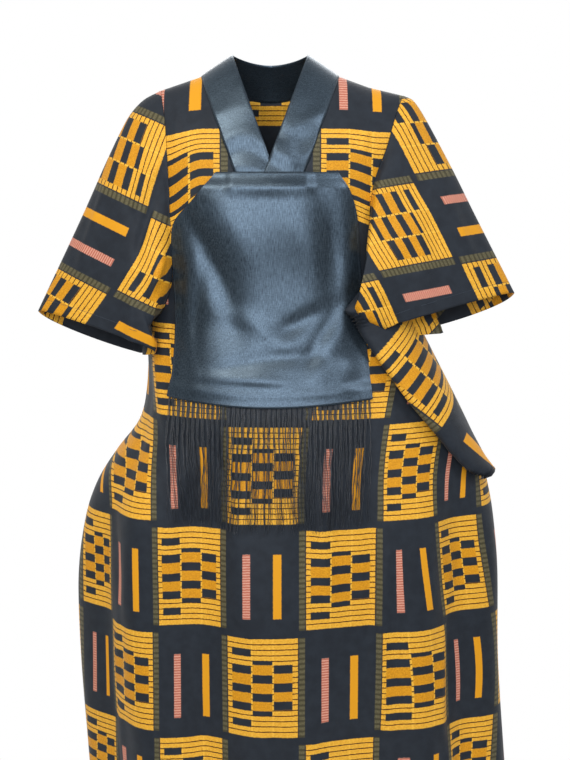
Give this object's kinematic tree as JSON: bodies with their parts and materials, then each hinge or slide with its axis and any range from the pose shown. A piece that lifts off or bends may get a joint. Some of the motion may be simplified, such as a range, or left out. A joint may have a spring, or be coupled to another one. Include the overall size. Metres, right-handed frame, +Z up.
{
  "type": "kaftan",
  "caption": "Long printed cotton kaftan with flared short sleeves, a crossed satin neck band and a fringed satin bib, in its worn form.",
  "frame": {"origin": "middle of the neck opening, level with the neck ends of the shoulder seams, where the wearer's shoulders carry the garment", "axes": "+Z up to the wearer's head, -Y out of the front, +X to the wearer's left"},
  "size_m": [0.8159, 0.4143, 1.4301],
  "materials": {
    "printed_cotton": "waxy printed cotton, matte with a slight sheen",
    "satin": "soft polyester satin",
    "rayon_fringe": "loose rayon threads, slightly glossy"
  },
  "bodies": {
    "root": {"front_panel": "printed_cotton", "back_panel": "printed_cotton", "sleeve_right": "printed_cotton", "sleeve_left": "printed_cotton", "neck_band_right": "satin", "neck_band_left": "satin", "neck_band_back": "satin", "bib_panel": "satin", "fringe": "rayon_fringe"}
  },
  "joints": []
}
